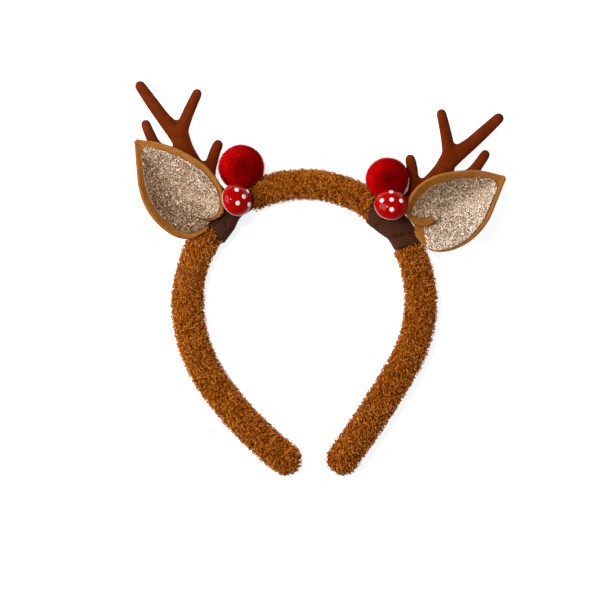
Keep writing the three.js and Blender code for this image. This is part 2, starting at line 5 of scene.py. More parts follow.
import bpy
import numpy as np
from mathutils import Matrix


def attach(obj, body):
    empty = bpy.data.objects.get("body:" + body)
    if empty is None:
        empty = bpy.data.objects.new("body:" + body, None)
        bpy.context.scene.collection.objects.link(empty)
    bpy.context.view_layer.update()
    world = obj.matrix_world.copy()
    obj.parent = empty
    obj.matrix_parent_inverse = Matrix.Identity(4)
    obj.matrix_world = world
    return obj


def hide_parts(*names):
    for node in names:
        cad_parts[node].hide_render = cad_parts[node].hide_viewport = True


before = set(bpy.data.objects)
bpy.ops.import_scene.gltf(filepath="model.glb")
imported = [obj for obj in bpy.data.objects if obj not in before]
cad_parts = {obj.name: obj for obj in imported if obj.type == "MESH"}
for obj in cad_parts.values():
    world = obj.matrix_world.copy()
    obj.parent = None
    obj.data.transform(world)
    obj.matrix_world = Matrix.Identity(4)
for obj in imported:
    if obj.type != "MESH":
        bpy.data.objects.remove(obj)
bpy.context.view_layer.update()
mm = 0.001


# Camera: straight above, far enough away that heights shift little in the picture.
cameraSettings = {
    "centre": (-0.0024, -0.0696), "height": 1.8, "seenWidth": 0.36, "focusHeight": 0.010, "sensor": 36.0,
}


def addCamera(s):
    data = bpy.data.cameras.new("camera")
    data.sensor_width = s["sensor"]
    data.lens = (s["height"] - s["focusHeight"]) * s["sensor"] / s["seenWidth"]
    data.clip_end = 20
    camera = bpy.data.objects.new("camera", data)
    camera.location = (*s["centre"], s["height"])
    bpy.context.scene.collection.objects.link(camera)
    bpy.context.scene.camera = camera


addCamera(cameraSettings)
print("camera placed")


# Shader helpers. A Wire is one socket's value, and arithmetic on it adds Math nodes.
class Wire:
    def __init__(self, paint, socket):
        self.paint = paint
        self.socket = socket

    def maths(self, operation, first, second):
        return self.paint.node("ShaderNodeMath", {"operation": operation}, {0: first, 1: second})

    def __add__(self, other):
        return self.maths("ADD", self, other)

    def __radd__(self, other):
        return self.maths("ADD", other, self)

    def __sub__(self, other):
        return self.maths("SUBTRACT", self, other)

    def __rsub__(self, other):
        return self.maths("SUBTRACT", other, self)

    def __mul__(self, other):
        return self.maths("MULTIPLY", self, other)

    def __rmul__(self, other):
        return self.maths("MULTIPLY", other, self)


# A material under construction: its Principled shader's own sockets hold what is the same all over.
class Paint:
    def __init__(self, name, **constants):
        self.material = bpy.data.materials.new(name)
        self.material.use_nodes = True
        self.tree = self.material.node_tree
        self.shader = self.tree.nodes["Principled BSDF"]
        for socket, value in constants.items():
            self.fill(self.shader.inputs[socket.replace("_", " ")], value)

    # Adds a node, sets it up, and fills its sockets with values or wires.
    def node(self, kind, settings=None, values=None, output=0):
        made = self.tree.nodes.new(kind)
        for key, value in (settings or {}).items():
            if key == "stops":
                self.setStops(made.color_ramp, value)
            else:
                setattr(made, key, value)
        for key, value in (values or {}).items():
            self.fill(made.inputs[key], value)
        return Wire(self, made.outputs[output])

    def setStops(self, ramp, stops):
        while len(ramp.elements) < len(stops):
            ramp.elements.new(1.0)
        for element, (place, colour) in zip(ramp.elements, stops):
            element.position = place
            element.color = (*colour, 1)

    def fill(self, socket, value):
        if isinstance(value, Wire):
            self.tree.links.new(value.socket, socket)
        elif socket.type == "RGBA":
            socket.default_value = (*value, 1)
        else:
            socket.default_value = value

    def place(self):
        return self.node("ShaderNodeTexCoord", output="Object")

    def attribute(self, name):
        return self.node("ShaderNodeAttribute", {"attribute_name": name}, output="Fac")

    def noise(self, scale, detail=3.0, rough=0.5):
        values = {"Vector": self.place(), "Scale": scale, "Detail": detail, "Roughness": rough}
        return self.node("ShaderNodeTexNoise", values=values)

    # one at a point, falling to nothing at a distance from it
    def near(self, point, reach):
        settings, values = {"operation": "DISTANCE"}, {0: self.place(), 1: point}
        away = self.node("ShaderNodeVectorMath", settings, values, output="Value")
        settings = {"interpolation_type": "SMOOTHSTEP"}
        return self.node("ShaderNodeMapRange", settings, {0: away, 1: 0.0, 2: reach, 3: 1.0, 4: 0.0})

    def ramp(self, amount, *stops):
        return self.node("ShaderNodeValToRGB", {"stops": stops}, {"Fac": amount})

    def blend(self, amount, first, second):
        made = self.node("ShaderNodeMix", {"data_type": "RGBA"}, output="Result")
        node = made.socket.node
        colours = [socket for socket in node.inputs if socket.type == "RGBA"]
        self.fill(node.inputs[0], amount)
        self.fill(colours[0], first)
        self.fill(colours[1], second)
        return Wire(self, next(socket for socket in node.outputs if socket.type == "RGBA"))

    def bump(self, height, strength, depth):
        return self.node("ShaderNodeBump", values={"Height": height, "Strength": strength, "Distance": depth})

    def coat(self, **links):
        for socket, wire in links.items():
            self.fill(self.shader.inputs[socket.replace("_", " ")], wire)
        return self.material


# A finish whose colour is one noise, or two mixed, through a ramp, with the first noise as its relief.
def grained(name, first, second, share, stops, relief, **constants):
    paint = Paint(name, **constants)
    grain = paint.noise(*first)
    amount = grain * share + paint.noise(*second) * (1 - share) if second else grain
    links = {"Base_Color": paint.ramp(amount, *stops)}
    if relief:
        links["Normal"] = paint.bump(grain, *relief)
    return paint.coat(**links)


# A colour as a screen shows it, 0 to 255, turned into the linear values that shaders use.
def shade(red, green, blue):
    screen = np.array((red, green, blue)) / 255
    return tuple(np.where(screen <= 0.04045, screen / 12.92, ((screen + 0.055) / 1.055) ** 2.4))


# Mesh helpers.
def makeMesh(name, points, quads=None, tris=None, tones=None, smooth=True):
    # points go in as one array, then four-cornered faces, then three-cornered ones
    quads = np.zeros((0, 4), int) if quads is None else quads.reshape(-1, 4)
    tris = np.zeros((0, 3), int) if tris is None else tris.reshape(-1, 3)
    corners = np.concatenate([quads.ravel(), tris.ravel()]).astype(np.int32)
    starts = np.concatenate([np.arange(len(quads)) * 4, len(quads) * 4 + np.arange(len(tris)) * 3])
    mesh = bpy.data.meshes.new(name)
    flat = points.reshape(-1, 3).astype(np.float32)
    mesh.vertices.add(len(flat))
    mesh.vertices.foreach_set("co", flat.ravel())
    mesh.loops.add(len(corners))
    mesh.loops.foreach_set("vertex_index", corners)
    mesh.polygons.add(len(starts))
    mesh.polygons.foreach_set("loop_start", starts.astype(np.int32))
    mesh.polygons.foreach_set("use_smooth", np.full(len(starts), smooth))
    mesh.update(calc_edges=True)
    for tone, values in (tones or {}).items():
        attribute = mesh.attributes.new(tone, "FLOAT", "POINT")
        attribute.data.foreach_set("value", values.ravel().astype(np.float32))
    piece = bpy.data.objects.new(name, mesh)
    bpy.context.scene.collection.objects.link(piece)
    return piece


def circle(count):
    # evenly spaced angles once round
    return np.arange(count) * 2 * math.pi / count


def gridFaces(rows, columns, around=False):
    # each face joins a point, the next in its row, and the two beyond them in the next row
    wide = columns if around else columns - 1
    row, column = np.meshgrid(np.arange(rows - 1), np.arange(wide), indexing="ij")
    other = (column + 1) % columns
    faces = np.stack([row * columns + column, row * columns + other,
                      (row + 1) * columns + other, (row + 1) * columns + column], -1)
    return faces.reshape(-1, 4)


def tubeMesh(name, rings, tones=None):
    # a closed body: faces between neighbouring rings, and a fan over each end to the end's middle
    count, sides = rings.shape[:2]
    points = np.concatenate([rings.reshape(-1, 3), rings[0].mean(0)[None], rings[-1].mean(0)[None]])
    step = np.arange(sides)
    following = (step + 1) % sides
    near = np.stack([following, step, np.full(sides, count * sides)], -1)
    last = (count - 1) * sides
    far = np.stack([last + step, last + following, np.full(sides, count * sides + 1)], -1)
    padded = {key: np.concatenate([value.ravel(), value.ravel()[:1], value.ravel()[-1:]])
              for key, value in (tones or {}).items()}
    return turnOut(makeMesh(name, points, gridFaces(count, sides, True), np.concatenate([near, far]), padded))


def turnOut(piece):
    # a closed body whose signed volume is below nothing has its faces turned round
    mesh = piece.data
    corners = trianglesOf(mesh)
    volume = (corners[:, 0] * np.cross(corners[:, 1], corners[:, 2])).sum()
    if volume < 0:
        mesh.flip_normals()
    return piece


def trianglesOf(mesh):
    mesh.calc_loop_triangles()
    index = np.empty(len(mesh.loop_triangles) * 3, np.int32)
    mesh.loop_triangles.foreach_get("vertices", index)
    points = np.empty(len(mesh.vertices) * 3, np.float32)
    mesh.vertices.foreach_get("co", points)
    return points.reshape(-1, 3).astype(float)[index.reshape(-1, 3)]


def unit(vectors):
    return vectors / np.maximum(np.linalg.norm(vectors, axis=-1, keepdims=True), 1e-12)


def gridNormals(grid, around=False):
    # the cross product of the ways to the neighbouring rows and to the neighbouring columns
    down = np.gradient(grid, axis=0)
    if around:
        across = np.roll(grid, -1, 1) - np.roll(grid, 1, 1)
    else:
        across = np.gradient(grid, axis=1)
    return unit(np.cross(down, across))


def softNoise(points, size, seed):
    # random values at the corners of cubes of that size, joined smoothly between them
    scaled = points / size
    corner = np.floor(scaled).astype(np.int64)
    part = scaled - corner
    ease = part * part * (3 - 2 * part)
    total = np.zeros(points.shape[:-1])
    for corners in np.ndindex(2, 2, 2):
        cell = corner + np.array(corners)
        cells = cell * np.array([73856093, 19349663, 83492791])
        mixed = cells[..., 0] ^ cells[..., 1] ^ cells[..., 2] ^ (seed * 2654435)
        value = ((mixed * 1103515245 + 12345) >> 8 & 0xFFFF) / 65535
        weight = np.prod(np.where(np.array(corners) == 1, ease, 1 - ease), axis=-1)
        total += weight * value
    return total * 2 - 1


def smoothTable(rows, count):
    # a Catmull-Rom line through the rows, at evenly spaced places
    rows = np.asarray(rows, float)
    padded = np.concatenate([[2 * rows[0] - rows[1]], rows, [2 * rows[-1] - rows[-2]]])
    at = np.linspace(0, len(rows) - 1, count)
    step = np.minimum(at.astype(int), len(rows) - 2)
    t = (at - step)[:, None]
    a, b, c, d = (padded[step + k] for k in range(4))
    square, cube = 2 * a - 5 * b + 4 * c - d, 3 * b - a - 3 * c + d
    return 0.5 * (2 * b + (c - a) * t + square * t ** 2 + cube * t ** 3)


def smoothStep(value, low, high):
    t = np.clip((value - low) / (high - low), 0, 1)
    return t * t * (3 - 2 * t)


def scatter(corners, count, rng):
    # triangles are drawn by their area, and a point in each by square-root weights of its corners
    cross = np.cross(corners[:, 1] - corners[:, 0], corners[:, 2] - corners[:, 0])
    area = np.linalg.norm(cross, axis=1)
    pick = np.searchsorted(np.cumsum(area) / area.sum(), rng.random(count))
    pick = np.minimum(pick, len(area) - 1)
    root, other = np.sqrt(rng.random((count, 1))), rng.random((count, 1))
    chosen = corners[pick]
    points = chosen[:, 0] * (1 - root) + chosen[:, 1] * root * (1 - other) + chosen[:, 2] * root * other
    return points, unit(cross[pick]), pick


def gridTriangles(grid):
    flat = grid.reshape(-1, 3)
    faces = gridFaces(*grid.shape[:2])
    return flat[np.concatenate([faces[:, [0, 1, 2]], faces[:, [0, 2, 3]]])]


def turnFlat(x, y, z, turn):
    # x and y turned about the upright axis, with z as it is
    return np.stack([x * math.cos(turn) - y * math.sin(turn), x * math.sin(turn) + y * math.cos(turn), z], -1)


def sideways(normals, rng):
    # two directions square to each normal and to each other, turned at random
    turn = unit(rng.normal(size=normals.shape))
    first = unit(np.cross(normals, turn))
    return first, np.cross(normals, first)


def pyramids(name, rims, ends, faces, tones, smooth=True):
    # three corners and an end for each, as one mesh
    tris = np.array(faces)[None] + (np.arange(len(ends)) * 4)[:, None, None]
    return makeMesh(name, np.concatenate([rims, ends[:, None]], 1), tris=tris, tones=tones, smooth=smooth)


def fibres(name, roots, tips, radius, rng, tone):
    # each fibre is a thin pyramid: three corners round its root, and its tip
    first, second = sideways(unit(tips - roots), rng)
    turns = circle(3)
    rim = roots[:, None] + radius * (first[:, None] * np.cos(turns)[None, :, None]
                                     + second[:, None] * np.sin(turns)[None, :, None])
    tones = {"tone": np.repeat(tone, 4), "tip": np.tile([0, 0, 0, 1], len(roots))}
    return pyramids(name, rim, tips, [[0, 2, 1], [0, 1, 3], [1, 2, 3], [2, 0, 3]], tones)


def strands(name, lines, radii, tone):
    # a three-sided tube along each line of points, closed over both ends
    count, steps = lines.shape[:2]
    ahead = unit(np.gradient(lines, axis=1))
    aside = unit(np.cross(ahead, np.roll(ahead, 1, axis=-1) + 0.31))
    above = np.cross(ahead, aside)
    turns = circle(3)
    rings = lines[:, :, None] + radii[:, :, None, None] * (
        aside[:, :, None] * np.cos(turns)[:, None] + above[:, :, None] * np.sin(turns)[:, None])
    start = (np.arange(count) * steps * 3)[:, None, None]
    quads = gridFaces(steps, 3, True)[None, :, ::-1] + start
    last = (steps - 1) * 3
    caps = np.array([[0, 1, 2], [last, last + 2, last + 1]])[None, :, ::-1] + start
    along = np.tile(np.repeat(np.linspace(0, 1, steps), 3), count)
    return makeMesh(name, rings, quads, caps, {"tone": np.repeat(tone, steps * 3), "tip": along})


def joined(name, parts):
    # several bodies become one piece, which keeps them in their order
    bpy.ops.object.select_all(action="DESELECT")
    for part in parts:
        part.select_set(True)
    bpy.context.view_layer.objects.active = parts[0]
    bpy.ops.object.join()
    piece = bpy.context.view_layer.objects.active
    piece.name = name
    return piece


def fuzzOn(name, piece, count, spread, lengths, radius, rng):
    # fibres at random on a piece, leaning away from square by the spread, and as long as a random
    # value between the least and the most
    roots, normals, _ = scatter(trianglesOf(piece.data), count, rng)
    lean = unit(normals + spread * rng.normal(size=normals.shape))
    least, most = lengths
    tips = roots + lean * (least + (most - least) * rng.random((len(roots), 1)))
    return fibres(name, roots, tips, radius, rng, rng.random(len(roots)))


def dress(piece, material, slot, *nodes):
    piece.data.materials.clear()
    piece.data.materials.append(material)
    if nodes:
        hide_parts(*nodes)
    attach(piece, "root")
    return piece


# The band's own line, shared by everything that sits on it.
bandSettings = {
    "crownRadius": 70 * mm, "legLength": 80 * mm, "crownThickness": 17.2 * mm, "legThickness": 18.6 * mm,
    "depth": 21 * mm, "soleSink": 0.9 * mm, "roundness": 0.77, "neckThickness": 15 * mm,
    "neckBlend": 3 * mm, "ribbonSqueeze": 2.3 * mm, "ribbonThickness": 1 * mm, "wrapSlant": 3 * mm,
    "slantFade": 9 * mm, "gap": 0.3 * mm, "taperSpan": (0.25, 0.75),
}
# What differs between the left side and the right one, in that order.
sidePairs = {
    "sign": (-1, 1), "seed": (1, 2),
    "bendRadius": (1.25, 1.1), "bendSweep": (36, 30), "legShare": (0.76, 0.84), "legSweep": (16, 6),
    "wrapFrom": (26.5, 35.5), "wrapTo": (52.2, 62.6), "endSlant": (-2.7 * mm, 2 * mm),
    "inner": ((0.75, 1.25), (1.15, 0.84)), "outer": ((1.1, 0.95), (1.1, 1.08)),
    "antlerAt": (35.5, 44.4), "antlerOut": (1, 0.973), "antlerLean": (-2.5, 0.7),
    "earAt": (48.1, 54.4), "earOut": (0.091, 0.241), "earLean": (-4.1, 9.1), "earShare": (1, 0.932),
    "pompomAt": (25.2, 34.6), "pompomSize": (1.0, 0.965),
    "capAt": (34.3, 42.3), "capOut": (0.22, 0.64), "capTilt": (34, 25), "capToward": (21, 80),
    "spotTurn": (45, 0), "spotShift": (0.13, 0),
    "frontRim": ((1.5, 2.4, 2.8, 3.4, 3.9), (4.0, 5.6, 4.6, 3.8, 3.4)),
    "backRim": ((3.6, 4.2, 4.2, 4.0, 3.9), (0, 0, 0.6, 2.1, 3.4)), "backStart": (3, 17),
    "hookRim": (((0, 0.3), (0.14, 0.2), (0.22, -0.8), (0.46, -0.8), (0.6, 0)),
                ((0, 5.4), (0.36, 5.4), (0.395, 0), (1, 0))),
    # each ear's glitter is painted brighter or darker lobe by lobe, from its valley out to its rims: painted
    # light and shade for lobes that face towards the lamp or away from it
    "frontTone": (0.2, 0.0), "valleyTone": (0.02, 0.16), "backTone": (-0.16, 0.4),
}
sides = {name: {key: pair[place] for key, pair in sidePairs.items()}
         for place, name in enumerate(("left", "right"))}


def onBothSides(make, *rest):
    for name, side in sides.items():
        make(name, side, *rest)


def crownArc(degrees):
    return math.radians(degrees) * bandSettings["crownRadius"]


# Three arcs that run into each other; each starts where the last one ends, facing the same way.
def arcsOf(side):
    b = bandSettings
    legRun = b["legLength"] * side["legShare"]
    bend = b["crownRadius"] * side["bendRadius"]
    arcs = [(b["crownRadius"], crownArc(90)), (bend, math.radians(side["bendSweep"]) * bend),
            (legRun / math.radians(side["legSweep"]), legRun)]
    rows, at, x, y, heading = [], 0.0, 0.0, 0.0, 0.0
    for radius, length in arcs:
        rows.append((at, x, y, heading, radius))
        turned = heading - length / radius
        x += radius * (math.sin(heading) - math.sin(turned))
        y += radius * (math.cos(turned) - math.cos(heading))
        at, heading = at + length, turned
    return np.array(rows), at


for settings in sides.values():
    settings["arcs"], settings["length"] = arcsOf(settings)
    settings["wrapStart"] = crownArc(settings["wrapFrom"])
    settings["wrapEnd"] = crownArc(settings["wrapTo"])


def bandPlace(side, at, outward, height):
    # the arc's centre plus its radius, turned by the length run over the radius, then out along the normal
    arcs = side["arcs"]
    which = np.clip(np.searchsorted(arcs[:, 0], at, side="right") - 1, 0, 2)
    start, x, y, heading, radius = np.moveaxis(arcs[which], -1, 0)
    turned = heading - (at - start) / radius
    x = x + radius * (np.sin(heading) - np.sin(turned)) - np.sin(turned) * outward
    y = y + radius * (np.cos(turned) - np.cos(heading)) + np.cos(turned) * outward
    return np.stack(np.broadcast_arrays(side["sign"] * x, y, height), -1)


def bandSection(side, at):
    b = bandSettings
    full = b["crownThickness"] / 2 + (b["legThickness"] - b["crownThickness"]) / 2 * smoothStep(
        at, side["wrapEnd"], crownArc(90))
    drawn = smoothStep(at, side["wrapStart"] - b["neckBlend"], side["wrapStart"]) * (
        1 - smoothStep(at, side["wrapEnd"], side["wrapEnd"] + b["neckBlend"]))
    run = side["wrapEnd"] - side["wrapStart"]
    share = smoothStep(at, *(side["wrapStart"] + part * run for part in b["taperSpan"]))
    neck = b["neckThickness"] / 2
    inner, outer = (full + (neck * (start + (end - start) * share) - full) * drawn
                    for start, end in (side["inner"], side["outer"]))
    squeeze = b["ribbonSqueeze"] * drawn
    return inner, outer, squeeze, b["depth"] - squeeze


def roundedShare(value):
    return np.sign(value) * np.abs(value) ** bandSettings["roundness"]


def sectionAngle(share):
    # the angle at which that share of the section's outline has been passed, measured in small steps
    fine = np.linspace(0, 2 * math.pi, 1441)
    wide = bandSettings["crownThickness"] * roundedShare(np.cos(fine))
    high = bandSettings["depth"] * roundedShare(np.sin(fine))
    passed = np.concatenate([[0], np.cumsum(np.hypot(np.diff(wide), np.diff(high)))])
    whole = np.floor(share)
    return np.interp((share - whole) * passed[-1], passed, fine) + whole * 2 * math.pi


def bandPoint(side, at, angle, extra):
    # a rounded box: reach and height are powers of the angle's cosine and sine, pressed flat below
    b = bandSettings
    inner, outer, low, high = bandSection(side, at)
    reach = np.where(np.cos(angle) > 0, outer, inner) + extra
    half = (high - low + b["soleSink"]) / 2
    height = np.maximum(high - half + (half + extra) * roundedShare(np.sin(angle)), low - extra)
    first = side["wrapStart"] - b["neckBlend"]
    last = side["wrapEnd"] + b["neckBlend"]
    passed = smoothStep(at, side["wrapStart"], side["wrapEnd"])
    swing = smoothStep(at, first - b["slantFade"], first) * (1 - passed)
    settle = passed * (1 - smoothStep(at, last, last + b["slantFade"]))
    swung = at - (b["wrapSlant"] * swing - side["endSlant"] * settle) * np.cos(angle)
    return bandPlace(side, swung, reach * roundedShare(np.cos(angle)), height)


# Local +Y points out from the band, leaning by an angle, and local +X towards the head's middle.
def seatOnBand(side, points, degrees, outward, height, lean):
    turn = -side["sign"] * (math.radians(degrees) + math.radians(lean))
    x, y = -side["sign"] * points[..., 0], points[..., 1]
    seat = bandPlace(side, np.array([crownArc(degrees)]), outward, height)[0]
    return turnFlat(x, y, points[..., 2], turn) + seat


# Plush: a padded core, and small curls of looped pile all over it. The core is painted dark, as painted shade
# in the gaps between the curls, and each curl is painted darker at its root and lighter at its tip, as
# painted shade deep in the pile.
plushSettings = {
    "coreInset": 1.3 * mm, "lump": 0.4 * mm, "lumpSize": 2.6 * mm, "rows": 170, "columns": 60, "tipRings": 14,
    "curlsPerSide": 3950, "around": 29, "curlRadius": 0.88 * mm, "curlTube": 0.38 * mm, "curlRise": 2.2 * mm,
    "curlTurns": 1.2, "curlSteps": 8, "tilt": 0.6, "spread": 0.32, "topShare": 0.45,
    "clump": 0.24, "clumpSize": 2.6 * mm, "scatter": 0.19, "overhang": 1.2 * mm, "overhangFade": 2.5 * mm,
    "ribbonClear": 0.4 * mm, "proudRise": 0.4, "curlTaper": 0.25, "tubeTaper": 0.45,
    "napPlace": (-0.071, -0.055, 0.016), "napReach": 15 * mm, "napPress": 0.3,
}


def plushMaterial(s):
    paint = Paint("plushPile", Roughness=0.9, Specular_IOR_Level=0.06)
    # the colour runs from dark at a curl's root to light at its tip, which is painted shade deep in the pile,
    # mixed with each curl's own random tone
    tone = paint.attribute("tone") * 0.55 + paint.attribute("tip") * 0.45
    patches = paint.noise(55, 2.0)
    fine = paint.noise(2600, 2.0)
    colour = paint.ramp(tone + (fine - 0.5) * 0.2, (0.0, shade(60, 21, 0)), (0.35, shade(172, 92, 14)),
                        (0.7, shade(222, 134, 38)), (1.0, shade(248, 182, 92)))
    colour = paint.blend(patches * 0.2, colour, shade(176, 82, 6))
    # a paler, pinker patch where the nap lies pressed flat: painted sheen on the flattened pile
    colour = paint.blend(paint.near(s["napPlace"], s["napReach"]) * 0.4, colour, shade(166, 98, 58))
    return paint.coat(Base_Color=colour, Normal=paint.bump(fine, 0.5, 0.0003))


def plushCoreRows(side, s):
    # the band's section from the crown to the tip, then shrunk by a circle's height over the rounded tip
    radius = bandSettings["legThickness"] / 2 - s["coreInset"]
    straight = np.linspace(0, side["length"], s["rows"] - s["tipRings"])
    bends = np.radians(np.linspace(0, 89, s["tipRings"] + 1))[1:]
    at = np.concatenate([straight, side["length"] + radius * np.sin(bends)])
    shrink = np.concatenate([np.ones(len(straight)), np.cos(bends)])
    angle = sectionAngle(np.arange(s["columns"]) / s["columns"])
    grid = bandPoint(side, at[:, None], angle[None, :], -s["coreInset"])
    middle = bandPlace(side, at, 0.0, bandSettings["depth"] / 2)[:, None]
    return middle + (grid - middle) * shrink[:, None, None]


def addPlush(s):
    material = plushMaterial(s)
    left, right = (plushCoreRows(sides[name], s) for name in ("left", "right"))
    grid = np.concatenate([left[:0:-1], right])
    normals = gridNormals(grid, True)
    middle = grid.mean(1, keepdims=True)
    normals *= np.sign((normals * (grid - middle)).sum(-1, keepdims=True).mean())
    lumps = softNoise(grid, s["lumpSize"], 3) + 0.5 * softNoise(grid, s["lumpSize"] / 2, 4)
    grid = grid + normals * (lumps * s["lump"])[..., None]
    grid[..., 2] = np.maximum(grid[..., 2], 0.2 * mm)
    # the core's low values paint it dark: painted shade between the curls
    core = tubeMesh("plush_core", grid, {"tone": 0.05 + 0.2 * (lumps + 1), "tip": lumps * 0 + 0.1})
    dress(core, material, "plush", "plush_band")
    onBothSides(addCurls, s, material)


def addCurls(name, side, s, material):
    # each curl is a short helix whose axis leans away from the band's surface
    rng = np.random.default_rng(10 + side["seed"])
    tipRadius = bandSettings["legThickness"] / 2
    reach = side["length"] + tipRadius
    around = s["around"]
    along = s["curlsPerSide"] // around
    row, column = np.meshgrid(np.arange(along), np.arange(around), indexing="ij")
    at = ((row + rng.random(row.shape)) / along * reach).ravel()
    even = ((column + 0.5 * (row % 2) + rng.random(row.shape)) / around).ravel()
    angle = sectionAngle(even + s["topShare"] / (2 * math.pi) * np.cos(even * 2 * math.pi))
    free = (at < side["wrapStart"] - s["ribbonClear"]) | (at > side["wrapEnd"] + s["ribbonClear"])
    at, angle = at[free], angle[free]
    over = np.clip((at - side["length"]) / tipRadius, 0, 0.995)
    shrink = np.sqrt(1 - over ** 2)
    at = at - over * s["coreInset"]
    middle = bandPlace(side, at, 0.0, bandSettings["depth"] / 2)
    root = middle + (bandPoint(side, at, angle, -s["coreInset"]) - middle) * shrink[:, None]
    outer = middle + (bandPoint(side, at, angle, s["coreInset"]) - middle) * shrink[:, None]
    before = np.exp(-np.abs(side["wrapStart"] - at) / s["overhangFade"]) * (at < side["wrapStart"])
    after = np.exp(-np.abs(at - side["wrapEnd"]) / s["overhangFade"]) * (at > side["wrapEnd"])
    ahead = unit(bandPlace(side, at + mm, 0.0, 0.0) - bandPlace(side, at, 0.0, 0.0))
    normal = unit(unit(outer - root) * shrink[:, None] + ahead * over[:, None])
    first, second = sideways(normal, rng)
    axis = unit(normal + s["tilt"] * first * rng.normal(size=(len(at), 1)))
    first, second = sideways(axis, rng)
    away = np.linalg.norm(root - np.array(s["napPlace"]), axis=1)
    nap = 1 - s["napPress"] * (1 - smoothStep(away, 0.5 * s["napReach"], s["napReach"]))[:, None, None]
    dice = lambda: rng.random((len(at), 1, 1))
    t = np.linspace(0, 1, s["curlSteps"])[None, :, None]
    size = nap ** 0.5 * (1 + s["spread"] * rng.normal(size=(len(at), 1, 1))).clip(0.5, 1.7)
    turn = dice() * 2 * math.pi + s["curlTurns"] * 2 * math.pi * t * (0.8 + 0.4 * dice())
    radius = s["curlRadius"] * size * (1 - s["curlTaper"] * t)
    proud = s["proudRise"] * (before + after)[:, None, None]
    rise = s["curlRise"] * nap * (0.7 + 0.6 * dice() + proud)
    hang = s["overhang"] * (before - after)[:, None] * ahead
    lines = (root[:, None] + axis[:, None] * rise * t + hang[:, None] * t
             + radius * (first[:, None] * np.cos(turn) + second[:, None] * np.sin(turn)))
    lines[..., 2] = np.maximum(lines[..., 2], s["curlTube"])
    tube = s["curlTube"] * (1 - s["tubeTaper"] * t[..., 0] ** 2) * (0.85 + 0.3 * rng.random((len(at), 1)))
    clump = softNoise(root, s["clumpSize"], 9) * s["clump"]
    tone = np.clip(0.5 + clump + s["scatter"] * rng.normal(size=len(at)), 0, 1)
    dress(strands(f"plush_curls_{name}", lines, tube, tone), material, "plush")


addPlush(plushSettings)
print("plush band made")


# Ribbon: wound tight round the band, with ribs that run along the band and edges that overlap.
ribbonSettings = {
    "ribs": 52, "ribDepth": 0.4 * mm, "perRib": 6, "rows": 34, "turns": 2.3, "lap": 0.35 * mm,
    "lapRise": (0.0, 0.93), "lapDrop": (0.955, 0.985), "hemShare": 0.03, "hemThin": 0.45,
}


def ribbonMaterial():
    paint = Paint("grosgrain", Specular_IOR_Level=0.12)
    rib = paint.attribute("tone")
    thread = paint.noise(3200, 2.0)
    # the tone paints the ribs' grooves dark and their crests light, and each turn's lapping edge dark:
    # painted shade and light, mixed with thread grain
    colour = paint.ramp(rib * 0.65 + thread * 0.35, (0.25, shade(12, 3, 0)), (0.55, shade(60, 26, 8)),
                        (0.9, shade(124, 74, 42)))
    return paint.coat(Base_Color=colour, Roughness=0.7 - rib * 0.25, Normal=paint.bump(thread, 0.4, 0.0002))


def addRibbon(name, side, s, material):
    # the wrap's surface with a cosine rib round it and a step where each turn laps the one before
    columns = s["ribs"] * s["perRib"]
    at = np.linspace(side["wrapStart"], side["wrapEnd"], s["rows"])[:, None]
    share = (np.arange(columns) / columns)[None, :]
    angle = sectionAngle(share)
    run = (at - side["wrapStart"]) / (side["wrapEnd"] - side["wrapStart"])
    rib = 0.5 + 0.5 * np.cos(share * s["ribs"] * 2 * math.pi + 0 * at)
    winding = np.mod(run * s["turns"] + share, 1.0)
    lap = s["lap"] * smoothStep(winding, *s["lapRise"]) * (1 - smoothStep(winding, *s["lapDrop"]))
    edge = smoothStep(run, 0, s["hemShare"]) * (1 - smoothStep(run, 1 - s["hemShare"], 1))
    b = bandSettings
    thickness = b["ribbonThickness"] * (1 - s["hemThin"] + s["hemThin"] * edge)
    outer = b["gap"] + thickness + lap - s["ribDepth"] * (1 - rib)
    over, under = bandPoint(side, at, angle, outer), bandPoint(side, at, angle, b["gap"])
    rows = s["rows"]
    points = np.concatenate([over, under[::-1]])
    faces = gridFaces(2 * rows, columns, True)
    closing = np.stack([faces[-columns:, 3], faces[-columns:, 2], faces[:columns, 1], faces[:columns, 0]], -1)
    # crests lighter and grooves darker, as painted light and shade, and painted shade along each turn's step
    # where it laps the one before
    tone = np.concatenate([0.25 + 0.65 * rib - 0.35 * smoothStep(winding, 0.94, 0.99), rib * 0])
    piece = makeMesh(f"ribbon_{name}", points, np.concatenate([faces, closing]), tones={"tone": tone})
    dress(turnOut(piece), material, "ribbon", f"ribbon_wrap_{name}")


grosgrain = ribbonMaterial()
onBothSides(addRibbon, ribbonSettings, grosgrain)
print("ribbons wound")


